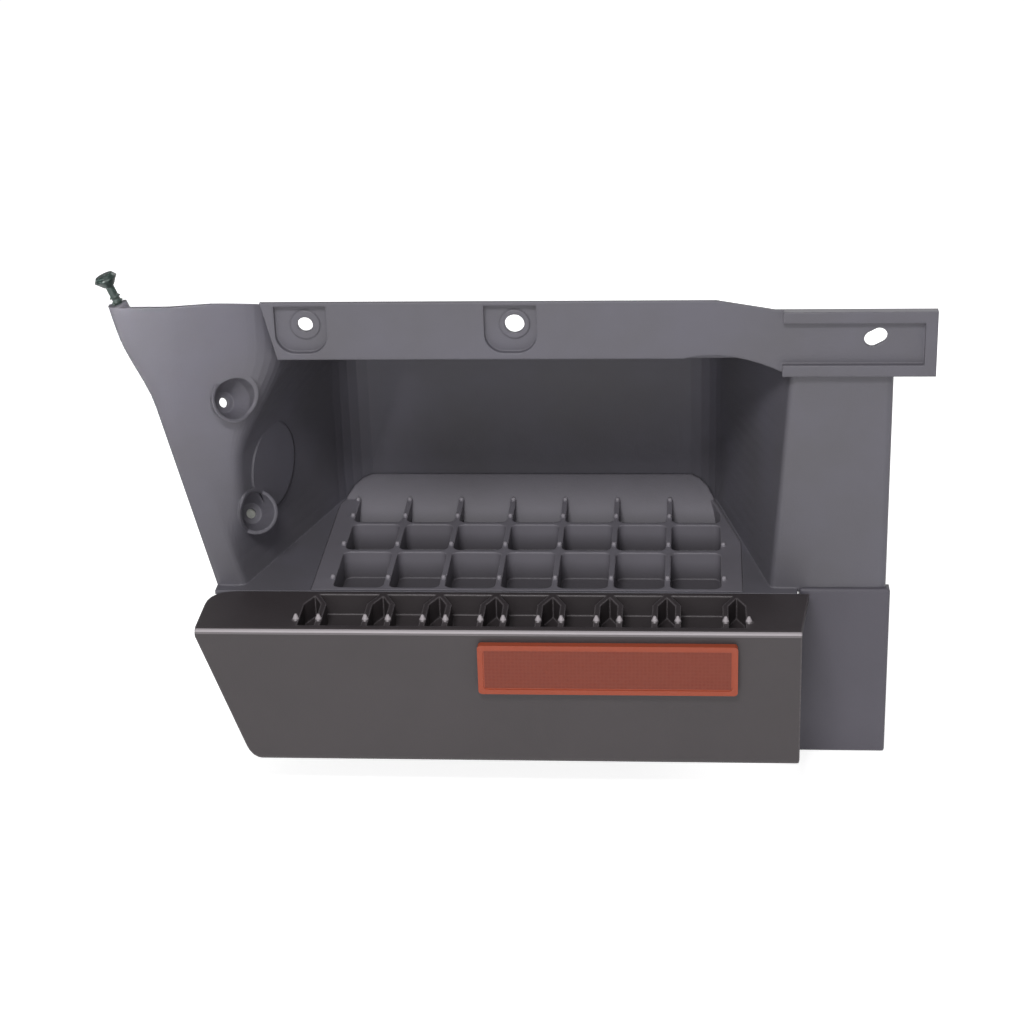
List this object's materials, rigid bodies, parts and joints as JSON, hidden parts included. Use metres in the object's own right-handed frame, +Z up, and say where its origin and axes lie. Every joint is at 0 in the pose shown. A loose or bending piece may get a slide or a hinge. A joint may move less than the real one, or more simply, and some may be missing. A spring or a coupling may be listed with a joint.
{
  "type": "truck cab step",
  "caption": "Moulded foot box for a truck cab with a waffle tread board, a front skirt with a reflector, an end cap and a bolt-on top flange.",
  "frame": {"origin": "centre of the middle mounting hole in the top flange, on the face that the bolt's washer bears on", "axes": "+X along the vehicle's side towards the square end, +Y inboard into the foot box, +Z up"},
  "size_m": [0.64, 0.2843, 0.4086],
  "materials": {
    "housing_plastic": "fine-grained charcoal polypropylene",
    "tread_plastic": "fine-grained charcoal polypropylene",
    "skirt_plastic": "fine-grained charcoal polypropylene",
    "cap_plastic": "fine-grained charcoal polypropylene",
    "amber_lens": "moulded amber-red acrylic with prisms behind it",
    "base_plastic": "dark moulded ABS",
    "zinc_steel": "zinc-plated steel",
    "clip_nylon": "dark moulded nylon"
  },
  "bodies": {
    "root": {"step_housing": "housing_plastic", "tread_board": "tread_plastic", "front_skirt": "skirt_plastic", "end_cap": "cap_plastic", "reflector_lens": "amber_lens", "reflector_base": "base_plastic", "reflector_push_nuts": "zinc_steel", "corner_clip": "clip_nylon", "cap_push_nuts": "zinc_steel", "tread_screws": "zinc_steel", "skirt_screws": "zinc_steel", "skirt_spring_nuts": "zinc_steel", "side_wall_spring_nut": "zinc_steel"}
  },
  "joints": []
}
